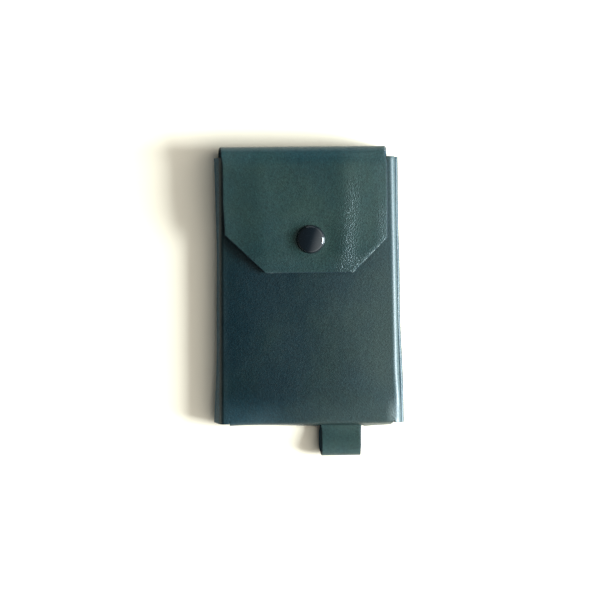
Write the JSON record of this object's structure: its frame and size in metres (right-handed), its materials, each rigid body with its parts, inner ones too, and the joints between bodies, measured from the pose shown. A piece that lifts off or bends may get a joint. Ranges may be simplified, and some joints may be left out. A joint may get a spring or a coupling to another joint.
{
  "type": "card holder",
  "caption": "Flat folded-leather card holder with a flap that opens at two creases, a press stud, an open-topped pocket and a loop tab at its foot.",
  "frame": {"origin": "middle of the outer face of the back, the face that it rests on", "axes": "+X to the right seen from the front, +Y towards the fold of the flap, +Z out of the front through the press stud"},
  "size_m": [0.0668, 0.1084, 0.0129],
  "materials": {
    "leather": "dark teal-green vegetable-tanned leather, waxed, semi-gloss",
    "black_enamel": "glossy black lacquered press stud cap",
    "dark_steel": "darkened nickel-plated press stud parts"
  },
  "bodies": {
    "case": {"front_panel": "leather", "bottom_wall": "leather", "back_panel": "leather", "left_side_wall": "leather", "right_side_wall": "leather", "left_wing": "leather", "right_wing": "leather", "tab_tails": "leather", "snap_stud": "dark_steel", "snap_post": "dark_steel"},
    "roof": {"flap_roof": "leather"},
    "flap": {"flap_panel": "leather", "snap_cap": "black_enamel", "snap_socket": "dark_steel", "snap_spring": "dark_steel"},
    "tab": {"tab_loop": "leather"}
  },
  "joints": [
    {"name": "roof_crease", "type": "hinge", "parent": "case", "child": "roof", "pos_m": [0, 0.04906, 0.00119], "axis": [-1, 0, 0], "range_deg": [0, 90], "stiffness_Nm_per_rad": 0.002},
    {"name": "flap_crease", "type": "hinge", "parent": "roof", "child": "flap", "pos_m": [0, 0.04871, 0.01046], "axis": [-1, 0, 0], "range_deg": [0, 90], "stiffness_Nm_per_rad": 0.002},
    {"name": "tab_flex", "type": "hinge", "parent": "case", "child": "tab", "pos_m": [0.011, -0.0493, 0.00245], "axis": [1, 0, 0], "range_deg": [-60, 60], "stiffness_Nm_per_rad": 0.0004}
  ]
}
